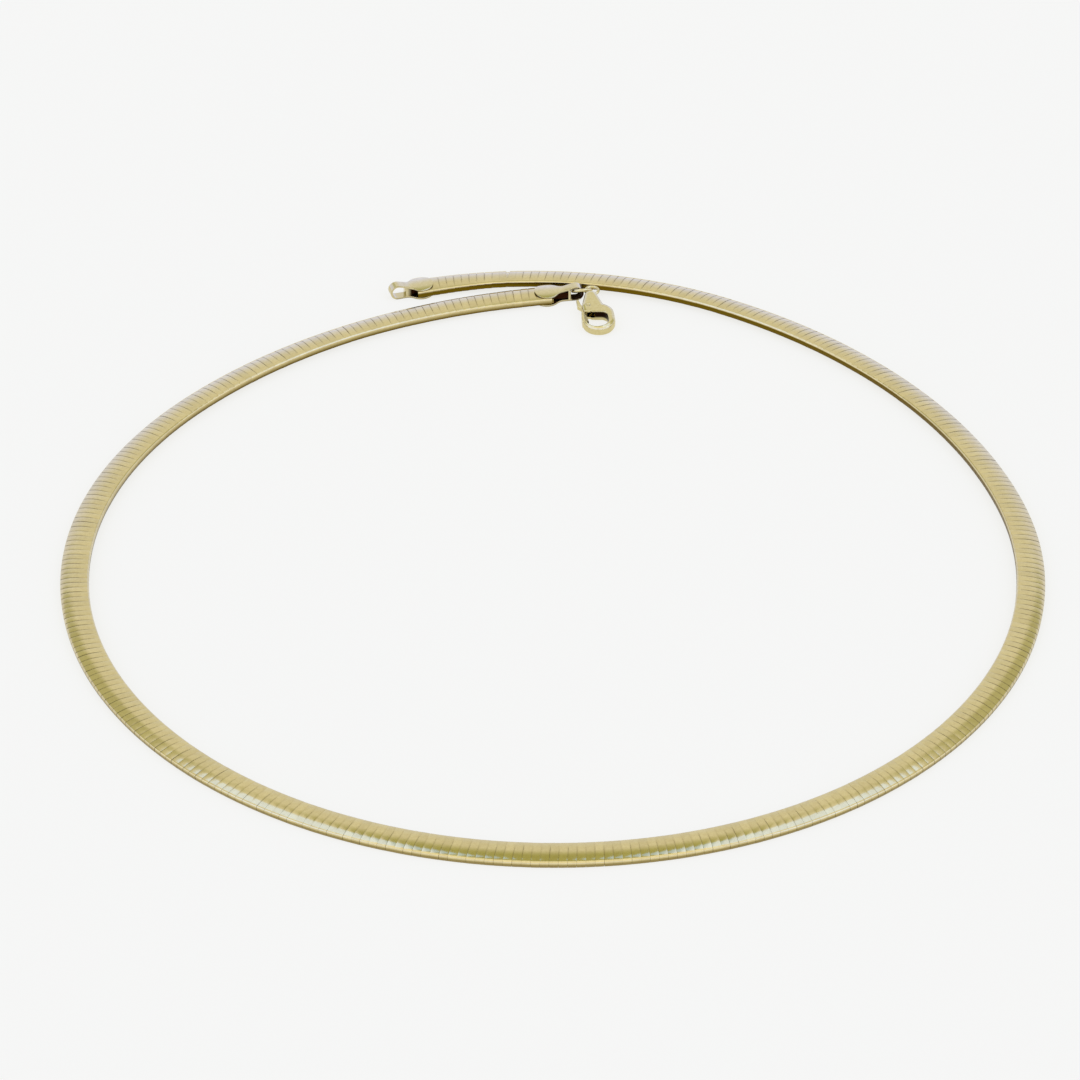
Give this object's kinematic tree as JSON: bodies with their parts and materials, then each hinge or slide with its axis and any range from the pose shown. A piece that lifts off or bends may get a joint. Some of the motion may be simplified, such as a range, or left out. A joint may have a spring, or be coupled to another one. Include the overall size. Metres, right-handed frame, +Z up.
{
  "type": "omega necklace",
  "caption": "Springy domed omega necklace of close-set gold plates, lying open, with folded end caps, a jump ring and a trigger clasp.",
  "frame": {"origin": "middle of the band's bounding box on the resting surface", "axes": "+Z up from the surface it lies on, +Y towards the back where the two ends lie side by side, +X to the right seen from the front"},
  "size_m": [0.1315, 0.1421, 0.0022],
  "materials": {
    "yellow_gold": "polished 14 carat yellow gold plates",
    "polished_gold": "polished 14 carat yellow gold"
  },
  "bodies": {
    "root": {"omega_band": "yellow_gold", "end_cap_clasp": "polished_gold", "end_cap_free": "polished_gold", "jump_ring": "polished_gold", "clasp_body": "polished_gold", "clasp_pin": "polished_gold"},
    "trigger": {"clasp_lever": "polished_gold"}
  },
  "joints": [
    {"name": "trigger_pivot", "type": "hinge", "parent": "root", "child": "trigger", "pos_m": [0.00519, 0.06044, 0.00114], "axis": [0.0049, -0.0579, 0.9983], "range_deg": [0, 25], "stiffness_Nm_per_rad": 0.002}
  ]
}
